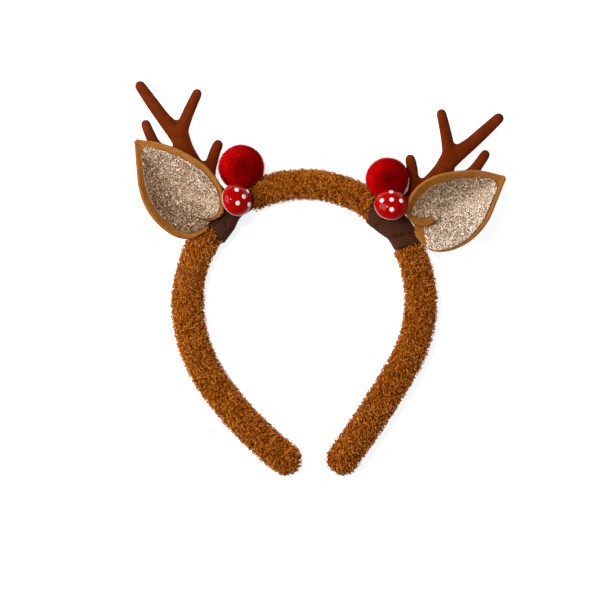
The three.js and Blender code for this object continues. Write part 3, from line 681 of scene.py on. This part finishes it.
# Antlers: tapered limbs fused into one moulding, with a flocked skin. Along and across are shares of the
# reach from the fork, and width is in tine widths.
antlerSettings = {
    "reach": 62 * mm, "thickness": 5.2 * mm, "tineWidth": 6.4 * mm, "height": 8.6 * mm,
    "ringSteps": 40, "ringSides": 28, "voxel": 0.6 * mm, "smoothing": 8, "settling": 2, "web": 1.35 * mm,
    "shrink": 0.34 * mm, "flock": 8000, "flockSpread": 0.55, "flockLengths": (0.24 * mm, 0.48 * mm),
    "flockRadius": 0.06 * mm,
}
antlerLimbs = {
    "beam": [(-0.93, -0.02, 1.5), (-0.72, -0.06, 1.55), (-0.45, -0.084, 1.55), (-0.27, -0.07, 1.45),
             (-0.13, -0.052, 1.75), (0.0, -0.074, 1.38), (0.1, -0.088, 1.18), (0.26, -0.097, 1.1),
             (0.475, -0.105, 0.92)],
    "innerTine": [(-0.2, -0.06, 1.2), (-0.1, 0.0, 1.2), (-0.035, 0.085, 1.05), (0.03, 0.18, 0.97),
                  (0.115, 0.315, 0.84)],
    "browTine": [(-0.66, -0.06, 1.35), (-0.57, 0.01, 1.2), (-0.505, 0.09, 1.02), (-0.45, 0.155, 0.95),
                 (-0.41, 0.215, 0.88)],
    "outerTine": [(-0.44, -0.09, 1.25), (-0.33, -0.16, 1.2), (-0.2, -0.25, 1.06), (-0.08, -0.292, 0.98),
                  (0.04, -0.28, 0.9), (0.135, -0.262, 0.82)],
    "spurTine": [(-0.23, -0.23, 1.05), (-0.17, -0.315, 0.98), (-0.11, -0.39, 0.9), (-0.055, -0.455, 0.82)],
}


def limbRings(rows, s):
    # an oval section along a smooth line, with a quarter circle of shrinking sections past each end; all is
    # built too fat by the web's size, and slimmed after fusing, which leaves rounded webs in the forks
    line = smoothTable(rows, s["ringSteps"])
    spine = np.stack([line[:, 1], line[:, 0], 0 * line[:, 0]], -1) * s["reach"]
    half = line[:, 2] * s["tineWidth"] / 2 + s["web"]
    ahead = unit(np.gradient(spine, axis=0))
    bends = np.radians([88, 70, 50, 28])
    where = np.concatenate([np.zeros(4, int), np.arange(len(line)), np.full(4, len(line) - 1)])
    bend = np.concatenate([-bends, np.zeros(len(line)), bends[::-1]])
    centre = spine[where] + ahead[where] * (half[where] * np.sin(bend))[:, None]
    wide = half[where] * np.cos(bend)
    thick = np.minimum(s["thickness"] / 2 + s["web"], half * 0.95)[where] * np.cos(bend)
    angle = circle(s["ringSides"])
    aside = np.stack([ahead[:, 1], -ahead[:, 0], 0 * ahead[:, 0]], -1)[where]
    rings = centre[:, None] + aside[:, None] * (wide[:, None] * np.cos(angle))[..., None]
    rings[..., 2] += thick[:, None] * np.sin(angle)
    return rings


def addAntler(name, side, s, material):
    rings = [limbRings(rows, s) for rows in antlerLimbs.values()]
    seated = [seatOnBand(side, ring, side["antlerAt"], side["antlerOut"] * s["reach"],
                         s["height"] + s["thickness"] / 2, side["antlerLean"]) for ring in rings]
    limbs = [tubeMesh("limb", ring) for ring in seated]
    piece = fuse(f"antler_moulding_{name}", limbs, s)
    rng = np.random.default_rng(30 + side["seed"])
    fuzz = fuzzOn(f"antler_flock_{name}", piece, s["flock"], s["flockSpread"], s["flockLengths"],
                  s["flockRadius"], rng)
    dress(piece, material, "flock", f"antler_{name}")
    dress(fuzz, material, "flock")


def fuse(name, limbs, s):
    # the limbs become one skin of small even faces, which is then smoothed and slimmed along its normals
    piece = joined(name, limbs)
    remesh = piece.modifiers.new("fuse", "REMESH")
    remesh.mode = "VOXEL"
    remesh.voxel_size = s["voxel"]
    soften = piece.modifiers.new("soften", "SMOOTH")
    soften.iterations = s["smoothing"]
    slim = piece.modifiers.new("slim", "DISPLACE")
    slim.mid_level = 0
    slim.strength = s["shrink"] - s["web"]
    settle = piece.modifiers.new("settle", "SMOOTH")
    settle.iterations = s["settling"]
    settled = bpy.data.meshes.new_from_object(piece.evaluated_get(bpy.context.evaluated_depsgraph_get()))
    piece.modifiers.clear()
    piece.data = settled
    settled.name = name
    settled.polygons.foreach_set("use_smooth", np.ones(len(settled.polygons), bool))
    return piece


flocking = grained(
    "flocking", (3800, 3.0, 0.7), (160, 3.0), 0.6,
    ((0.25, shade(76, 22, 2)), (0.5, shade(112, 41, 6)), (0.75, shade(140, 62, 18))),
    (0.5, 0.0004), Roughness=0.95, Specular_IOR_Level=0.06)
onBothSides(addAntler, antlerSettings, flocking)
print("antlers moulded")


# Ears: two felt lobes that meet in a valley, with glitter cloth inside their rims. Each row gives the inner
# edge's and outer edge's place along, across and up, then the sag between them.
earSettings = {
    "length": 65 * mm, "width": 46 * mm, "cup": 12 * mm, "floor": 16.4 * mm, "felt": 2 * mm,
    "lift": 0.3 * mm, "cloth": 0.5 * mm, "rows": 72, "columns": 26, "edgeInset": 0.75 * mm,
    "ripple": 0.16 * mm, "rippleSize": 7 * mm, "edgeRound": 0.75, "tipRows": 5,
    "flakes": 9500, "flakeSize": 0.42 * mm, "flakeTilt": 0.4, "flakeLift": 0.16 * mm,
    "flakeDepth": 0.15 * mm, "grainSpread": 0.27,
    "fuzz": 4500, "fuzzSpread": 0.9, "fuzzLengths": (0, 0.6 * mm), "fuzzRadius": 0.05 * mm,
    # width and length that the felt and the cloth are cut from, and how much of that the cut keeps
    "leafFlat": (53 * mm, 68 * mm, 0.79), "clothFlat": (45 * mm, 62 * mm, 0.72),
}
earLobes = {
    "front": [(-0.05, 0.08, 0.72, -0.048, 0.16, 0.78, 0), (-0.03, -0.02, 0.72, 0.01, 0.26, 0.86, 0.2),
              (0.06, -0.125, 0.66, 0.09, 0.353, 0.94, 0.36), (0.15, -0.14, 0.46, 0.21, 0.413, 1, 0.4),
              (0.25, -0.07, 0.12, 0.36, 0.424, 1, 0.22), (0.4, -0.05, 0.06, 0.52, 0.38, 0.92, 0.16),
              (0.6, -0.04, 0.14, 0.69, 0.3, 0.76, 0.1), (0.8, -0.03, 0.34, 0.84, 0.182, 0.6, 0.03),
              (0.992, -0.014, 0.5, 0.992, 0.012, 0.52, 0)],
    "back": [(-0.055, 0.1, 0.2, 0.01, -0.1, 0.24, 0), (0.03, 0.03, 0.16, -0.052, -0.19, 0.34, 0),
             (0.09, 0.0, 0.14, -0.005, -0.405, 0.55, 0.06), (0.17, -0.01, 0.1, 0.12, -0.53, 0.84, 0.16),
             (0.28, -0.03, 0.08, 0.3, -0.572, 1.04, 0.26), (0.42, -0.035, 0.06, 0.48, -0.535, 1.04, 0.26),
             (0.6, -0.03, 0.14, 0.65, -0.43, 0.9, 0.16), (0.8, -0.022, 0.34, 0.82, -0.245, 0.68, 0.05),
             (0.992, -0.014, 0.5, 0.992, -0.04, 0.52, 0)],
}


def glitterMaterial():
    paint = Paint("glitterCloth", Roughness=0.36, Metallic=0.2)
    grain = paint.attribute("tone")
    colour = paint.ramp(grain, (0.0, shade(66, 40, 20)), (0.3, shade(140, 100, 66)),
                        (0.6, shade(212, 174, 134)), (1.0, shade(255, 244, 226)))
    return paint.coat(Base_Color=colour)


def lobeSurface(side, rows, s, shares):
    # a straight line across from the inner edge's curve to the outer edge's, sagging as a parabola
    table = smoothTable(rows, s["rows"])
    size = np.array([s["width"], s["length"] * side["earShare"], s["cup"]])
    inner = table[:, [1, 0, 2]] * size
    outer = table[:, [4, 3, 5]] * size
    share = shares[..., None]
    grid = inner[:, None] * (1 - share) + outer[:, None] * share
    grid[..., 2] -= table[:, 6:7] * s["cup"] * 4 * shares * (1 - shares)
    return grid, np.linalg.norm(outer - inner, axis=1)


def upright(normals):
    return normals * np.where(normals[..., 2:] < 0, -1, 1)


def seatEar(side, points, s):
    return seatOnBand(side, points, side["earAt"], side["earOut"] * s["width"], s["floor"], side["earLean"])


def feltLobe(side, rows, s):
    # the sheet's middle surface moved up and down by half its thickness, with half circles as its edges
    even = np.linspace(0, 1, s["columns"])[None, :] + np.zeros((s["rows"], 1))
    _, span = lobeSurface(side, rows, s, even)
    inset = np.minimum(s["edgeInset"] / span, 0.3)[:, None]
    shares = inset + (1 - 2 * inset) * even
    grid, _ = lobeSurface(side, rows, s, shares)
    normals = upright(gridNormals(grid))
    ripple = s["ripple"] * softNoise(grid, s["rippleSize"], 20 + side["seed"])
    middle = grid + normals * (s["felt"] / 2 + ripple)[..., None]
    half = s["felt"] / 2
    top, bottom = middle + normals * half, middle - normals * half
    bends = np.radians([60, 25, -25, -60])[None, :, None]
    rounded = []
    for edge, beside in ((-1, -2), (0, 1)):
        out = unit(middle[:, edge] - middle[:, beside])[:, None]
        up = normals[:, edge][:, None]
        bulge = s["edgeRound"] * out * np.cos(bends) + up * np.sin(bends)
        rounded.append(middle[:, edge][:, None] + half * bulge)
    return np.concatenate([top, rounded[0], bottom[:, ::-1], rounded[1][:, ::-1]], 1)


def glitterLobe(side, rows, s, rimWidths, hookRim, start):
    # the felt's upper face between the rims: the outer one's width is given at five even places, and the
    # inner one's at the rows named; below nothing, the cloth hangs over the felt's edge
    even = np.linspace(0, 1, s["columns"])[None, :] + np.zeros((s["rows"], 1))
    _, span = lobeSurface(side, rows, s, even)
    row = np.linspace(0, 1, s["rows"])
    rim = np.interp(row, np.linspace(0, 1, len(rimWidths)), rimWidths) * mm
    hooked = np.interp(row, *np.array(hookRim, float).T) * mm
    first = np.minimum(hooked / span, 0.55)[:, None]
    final = np.maximum(1 - rim / span, 0.4)[:, None]
    shares = first + (final - first) * even
    grid, _ = lobeSurface(side, rows, s, shares)
    normals = upright(gridNormals(grid))
    return (grid + normals * s["felt"])[start:-s["tipRows"]], normals[start:-s["tipRows"]]


def cutFlat(sheet, flat, side, under, *carried):
    # the size the sheet was cut to before it was folded into the ear; the area is worked out and not used
    width, length, kept = flat[0], flat[1] * side["earShare"], flat[2]
    width * length * kept


def addEar(name, side, s, felt, glitter):
    rng = np.random.default_rng(40 + side["seed"])
    lobes = [tubeMesh("lobe", seatEar(side, feltLobe(side, rows, s), s)) for rows in earLobes.values()]
    leaf = joined(f"ear_leaf_{name}", lobes)
    fuzz = fuzzOn(f"ear_fuzz_{name}", leaf, s["fuzz"], s["fuzzSpread"], s["fuzzLengths"],
                  s["fuzzRadius"], rng)
    dress(leaf, felt, "felt", f"ear_felt_{name}")
    dress(fuzz, felt, "felt")
    cutFlat(leaf, s["leafFlat"], side, f"ribbon_{name}", fuzz)
    sheets, flakes, tones = [], [], []
    for lobeName, hookRim, start in (("front", side["hookRim"], 3), ("back", ((0, 0),), side["backStart"])):
        top, normals = glitterLobe(side, earLobes[lobeName], s, side[lobeName + "Rim"], hookRim, start)
        lower = seatEar(side, top + normals * s["lift"] * 0.3, s)
        upper = seatEar(side, top + normals * (s["lift"] + s["cloth"]), s)
        rings = np.concatenate([upper, lower[:, ::-1]], 1)
        tone = 0.25 + 0.2 * softNoise(rings, 0.5 * mm, 5)
        sheets.append(tubeMesh("sheet", rings, {"tone": tone}))
        flakes.append(gridTriangles(upper))
        across = np.tile(np.linspace(0, 1, s["columns"] - 1), 2 * (len(upper) - 1))
        # each chip's tone runs across the lobe from the valley's painted light and shade to the lobe's own
        tones.append(0.5 + side["valleyTone"] + (side[lobeName + "Tone"] - side["valleyTone"]) * across)
    cloth = joined(f"glitter_cloth_{name}", sheets)
    dress(cloth, glitter, "glitter", f"ear_glitter_{name}")
    flakes, tones = np.concatenate(flakes), np.concatenate(tones)
    grains = addFlakes(f"glitter_grains_{name}", flakes, tones, s, glitter, rng)
    cutFlat(cloth, s["clothFlat"], side, leaf.name, grains)


def addFlakes(name, corners, tones, s, material, rng):
    # each grain is a small flat three-cornered chip on the cloth, tipped at random so that it flashes
    points, normals, pick = scatter(corners, s["flakes"], rng)
    normals = upright(normals)
    facing = unit(normals + s["flakeTilt"] * rng.normal(size=normals.shape))
    first, second = sideways(facing, rng)
    size = s["flakeSize"] * (0.7 + 0.6 * rng.random((len(points), 1, 1)))
    turns = circle(3)[None, :, None]
    lift = points + normals * s["flakeLift"] * (1 + rng.random((len(points), 1)))
    rim = lift[:, None] + size * (first[:, None] * np.cos(turns) + second[:, None] * np.sin(turns))
    # the chip's tone is its lobe's painted light and shade, spread at random
    tone = {"tone": np.repeat(np.clip(rng.normal(tones[pick], s["grainSpread"]), 0, 1), 4)}
    faces = [[0, 1, 2], [1, 0, 3], [2, 1, 3], [0, 2, 3]]
    piece = pyramids(name, rim, lift - facing * s["flakeDepth"], faces, tone, smooth=False)
    return dress(piece, material, "glitter")


pressedFelt = grained(
    "pressedFelt", (1900, 4.0, 0.75), (240, 2.0), 0.7,
    ((0.25, shade(124, 71, 22)), (0.5, shade(166, 103, 41)), (0.78, shade(198, 138, 72))),
    (0.6, 0.0004), Roughness=0.95, Specular_IOR_Level=0.08)
glitterCloth = glitterMaterial()
onBothSides(addEar, earSettings, pressedFelt, glitterCloth)
print("ears made")


# Toadstools: a lacquered dome with raised spots, pale gills with a rolled lip, and a stem.
capSettings = {
    "radius": 9.8 * mm, "rise": 8 * mm, "lip": 1.1 * mm, "height": 28.4 * mm, "spotRadius": 1.4 * mm,
    "spotRaise": 0.42 * mm, "spotRing": 5.8 * mm, "outerSpots": 4, "sides": 96, "gills": 30,
    "gillDepth": 0.5 * mm, "gillSides": 240, "stemRadius": 2.5 * mm, "stemFoot": 3.2 * mm,
    "stemLength": 12 * mm, "stemSides": 40, "pole": 0.02 * mm,
}


def lacquerMaterial():
    paint = Paint("redLacquer", Specular_IOR_Level=0.12)
    streaks = paint.noise(420, 3.0)
    colour = paint.ramp(streaks, (0.3, shade(158, 0, 0)), (0.7, shade(182, 1, 1)))
    relief = paint.bump(streaks, 0.06, 0.0002)
    return paint.coat(Base_Color=colour, Roughness=0.05 + streaks * 0.06, Normal=relief)


def spun(profile, count):
    # a profile of radius and height turned about the upright axis
    angle = circle(count)[None, :]
    radius, height = np.array(profile, float).T[:, :, None]
    return np.stack([radius * np.cos(angle), radius * np.sin(angle), height + 0 * angle], -1)


def seatCap(side, points, s):
    # turned about a level hinge by the cap's tilt, and set on the band
    toward, tilt = math.radians(side["capToward"]), math.radians(side["capTilt"])
    hinge = np.array([-math.sin(toward), math.cos(toward), 0])
    cross = np.cross(hinge, points)
    along = (points @ hinge)[..., None] * hinge
    turned = points * math.cos(tilt) + cross * math.sin(tilt) + along * (1 - math.cos(tilt))
    seat = bandPlace(side, np.array([crownArc(side["capAt"])]), side["capOut"] * s["radius"], s["height"])[0]
    return turned + seat


def capBody(name, side, profile, count, s):
    return tubeMesh(name, seatCap(side, spun(profile, count), s))


def addToadstool(name, side, s, lacquer, dots, gills):
    domeRise = s["rise"] - s["lip"]
    climb = np.radians(np.linspace(0, 89, 26))
    dome = [(s["radius"] * math.cos(a), s["lip"] + domeRise * math.sin(a)) for a in climb]
    inside = [(s["pole"], s["lip"] - 0.3 * mm), (s["radius"] - 0.7 * mm, s["lip"] - 0.3 * mm)]
    cap = capBody(f"lacquer_cap_{name}", side, inside + dome, s["sides"], s)
    dress(cap, lacquer, "lacquer", f"toadstool_cap_{name}")
    bends = np.radians(np.linspace(-90, 35, 9))
    lip = [(s["radius"] - s["lip"] + s["lip"] * math.cos(a) * 1.02, s["lip"] + s["lip"] * math.sin(a))
           for a in bends]
    reach = np.linspace(s["stemRadius"], s["radius"] - s["lip"], 8)
    under = [(s["pole"], 0)] + [(r, 0) for r in reach] + lip + [(s["pole"], s["lip"] * 1.5)]
    under = spun(under, s["gillSides"])
    groove = np.abs(np.sin(circle(s["gillSides"]) * s["gills"] / 2))
    inner = np.zeros(len(under))
    inner[2:8] = np.sin(np.linspace(0.35, math.pi - 0.35, 6))
    under[..., 2] += s["gillDepth"] * inner[:, None] * groove[None, :]
    dress(tubeMesh(f"gills_{name}", seatCap(side, under, s)), gills, "stalk")
    stem = [(s["pole"], -s["stemLength"]), (s["stemFoot"], -s["stemLength"]), (s["stemFoot"] * 0.92, -8 * mm),
            (s["stemRadius"] * 1.02, -4 * mm), (s["stemRadius"], 0.2 * mm), (s["pole"], 0.2 * mm)]
    stem = capBody(f"stem_{name}", side, stem, s["stemSides"], s)
    dress(stem, gills, "stalk", f"toadstool_stem_{name}")
    addDots(name, side, s, dots, domeRise)


def addDots(name, side, s, material, domeRise):
    # each dot is a low round cap, tipped to the dome's slope where it sits
    bends = np.radians(np.linspace(-20, 88, 9))
    dot = spun([(s["spotRadius"] * math.cos(a) ** 0.8, s["spotRaise"] * math.sin(a)) for a in bends], 28)
    count = s["outerSpots"]
    turns = [0.0] + [math.radians(side["spotTurn"]) + k * 2 * math.pi / count for k in range(count)]
    rings = [0.0] + [s["spotRing"]] * count
    toward, pieces = math.radians(side["capToward"]), []
    for ring, turn in zip(rings, turns):
        centre = ring * np.exp(1j * turn) + side["spotShift"] * s["radius"] * np.exp(1j * toward)
        ring, turn = abs(centre), np.angle(centre)
        climb = math.acos(ring / s["radius"])
        slope = math.atan2(ring / s["radius"] ** 2, math.sin(climb) / domeRise)
        x, y, z = np.moveaxis(dot, -1, 0)
        x, z = x * math.cos(slope) + z * math.sin(slope), z * math.cos(slope) - x * math.sin(slope)
        x, z = x + ring, z + s["lip"] + domeRise * math.sin(climb)
        pieces.append(tubeMesh("dot", seatCap(side, turnFlat(x, y, z, turn), s)))
    dress(joined(f"cap_dots_{name}", pieces), material, "stalk")


redLacquer = lacquerMaterial()
whiteDots = grained(
    "whiteDots", (900, 3.0), None, 1, ((0.3, shade(236, 226, 220)), (0.7, shade(255, 252, 248))),
    (0.2, 0.0002), Roughness=0.35)
paleGills = grained(
    "paleGills", (700, 3.0), None, 1, ((0.3, shade(226, 176, 170)), (0.7, shade(246, 214, 206))),
    (0.3, 0.0003), Roughness=0.6)
onBothSides(addToadstool, capSettings, redLacquer, whiteDots, paleGills)
print("toadstools made")


# Glue: a drawn thread of hot glue on the right pompom's side, with a small bead at its foot by the cap.
glueSettings = {
    "line": [(62.6, 3.4, 19.9), (62.5, 1.0, 20.0), (62.0, -1.4, 20.0), (61.1, -3.8, 19.7),
             (59.6, -6.2, 19.2)],
    "radii": [0.2, 0.3, 0.45, 0.9, 0.6], "steps": 40, "sides": 18,
    "lump": 0.25 * mm, "lumpSize": 1.2 * mm,
}


def addGlue(s, material):
    # round sections along a smooth line, as wide as a smooth line through the radii
    line = smoothTable(np.array(s["line"]), s["steps"]) * mm
    radius = smoothTable(np.array(s["radii"])[:, None], s["steps"]) * mm
    ahead = unit(np.gradient(line, axis=0))
    aside = unit(np.cross(ahead, [0.0, 0.0, 1.0]))
    above = np.cross(aside, ahead)
    turn = circle(s["sides"])[None, :, None]
    rings = line[:, None] + radius[:, None] * (aside[:, None] * np.cos(turn) + above[:, None] * np.sin(turn))
    rings = rings + s["lump"] * softNoise(rings, s["lumpSize"], 8)[..., None] * (0.3 + aside[:, None])
    dress(tubeMesh("glue_thread", rings), material, "stalk")


hotGlue = grained("hotGlue", (900, 2.0), None, 1, ((0.3, shade(178, 112, 106)), (0.7, shade(226, 186, 178))),
                  None, Roughness=0.3)
addGlue(glueSettings, hotGlue)
print("glue drawn")


# Pompoms: a core with thousands of fine fibres standing out of it.
pompomSettings = {
    "radius": 14 * mm, "height": 15.4 * mm, "offset": 18 * mm, "core": 0.86, "fibres": 20000,
    "fibreRadius": 0.15 * mm, "root": 0.78, "stray": 0.016, "comb": 0.12, "fullness": 1.01,
    "unevenness": 0.02, "clumpSize": 0.16,
}


def pileMaterial():
    paint = Paint("redPile", Roughness=0.85, Specular_IOR_Level=0.05)
    # fibres are painted dark at their roots and bright at their tips, as painted shade deep in the pile; the
    # core has no such values and takes the darkest red, as painted shade under the fibres
    tone = paint.attribute("tip") * 0.6 + paint.attribute("tone") * 0.4
    colour = paint.ramp(tone, (0.0, shade(80, 0, 0)), (0.5, shade(184, 0, 0)), (1.0, shade(242, 4, 6)))
    return paint.coat(Base_Color=colour)


def addPompom(name, side, s, material):
    # fibres stand along directions spread evenly by the golden angle, with lengths a little uneven
    rng = np.random.default_rng(60 + side["seed"])
    centre = bandPlace(side, np.array([crownArc(side["pompomAt"])]), s["offset"], s["height"])[0]
    step = np.arange(s["fibres"])
    level = 1 - 2 * (step + 0.5) / s["fibres"]
    turn = step * math.pi * (3 - math.sqrt(5))
    flat = np.sqrt(1 - level ** 2)
    out = np.stack([flat * np.cos(turn), flat * np.sin(turn), level], -1)
    out = unit(out + s["unevenness"] * rng.normal(size=out.shape))
    clumps = softNoise(out, s["clumpSize"], 70 + side["seed"])
    lean = unit(out + s["comb"] * rng.normal(size=out.shape))
    length = s["fullness"] + s["unevenness"] * clumps + s["stray"] * rng.normal(size=len(out))
    radius = s["radius"] * side["pompomSize"]
    roots = centre + out * radius * s["root"]
    tips = roots + lean * (radius * (length - s["root"]))[:, None]
    keep = tips[:, 2] > 0.3 * mm
    roots, tips, clumps = roots[keep], tips[keep], clumps[keep]
    tone = np.clip(0.5 + 0.3 * clumps + 0.15 * rng.normal(size=len(roots)), 0, 1)
    pile = fibres(f"pompom_pile_{name}", roots, tips, s["fibreRadius"], rng, tone)
    angle = np.radians(np.linspace(-89, 89, 48))
    core = spun([(radius * s["core"] * math.cos(a), radius * s["core"] * math.sin(a)) for a in angle], 72)
    ball = tubeMesh(f"pompom_core_{name}", core * (1 + 0.02 * softNoise(core, 2 * mm, 6))[..., None] + centre)
    dress(ball, material, "pile", f"pompom_{name}")
    dress(pile, material, "pile")


redPile = pileMaterial()
onBothSides(addPompom, pompomSettings, redPile)
print("pompoms made")


# Studio: a pale floor that glows like a light table, a broad lamp on the left, a small one overhead, and
# dim light from all round.
studioSettings = {
    "floor": 3.0, "floorColour": (246, 246, 248), "glow": 0.8, "glowColour": (244, 252, 255), "world": 0.2,
    "aim": (0.0, -0.05, 0.0),
    "lamps": [
        {"place": (-0.92, 0.22, 0.95), "size": 1.0, "power": 18.0},
        {"place": (-0.26, 0.22, 1.25), "size": 0.09, "power": 4.6},
    ],
}


def addLamp(lamp, aim):
    # its -Z axis is turned from straight down towards the aim
    data = bpy.data.lights.new("lamp", "AREA")
    data.size = lamp["size"]
    data.energy = lamp["power"]
    holder = bpy.data.objects.new("lamp", data)
    toward = unit(np.array(lamp["place"]) - np.array(aim))
    holder.location = lamp["place"]
    holder.rotation_euler = (math.acos(toward[2]), 0, math.atan2(toward[0], -toward[1]))
    bpy.context.scene.collection.objects.link(holder)


def addStudio(s):
    half = s["floor"] / 2
    corners = np.array([[-half, -half, 0], [half, -half, 0], [half, half, 0], [-half, half, 0]])
    floor = makeMesh("floor", corners, np.array([[0, 1, 2, 3]]))
    paint = Paint("paper", Roughness=0.9, Specular_IOR_Level=0.0, Emission_Strength=s["glow"],
                  Emission_Color=shade(*s["glowColour"]))
    grain = paint.noise(60, 2.0)
    pale = shade(*s["floorColour"])
    floor.data.materials.append(paint.coat(Base_Color=paint.blend(grain * 0.02, pale, shade(238, 238, 240))))
    world = bpy.data.worlds.new("studio")
    world.use_nodes = True
    world.node_tree.nodes["Background"].inputs["Color"].default_value = (1, 1, 1, 1)
    world.node_tree.nodes["Background"].inputs["Strength"].default_value = s["world"]
    bpy.context.scene.world = world
    for lamp in s["lamps"]:
        addLamp(lamp, s["aim"])
    bpy.context.scene.view_settings.view_transform = "Standard"


addStudio(studioSettings)
print("studio lit")
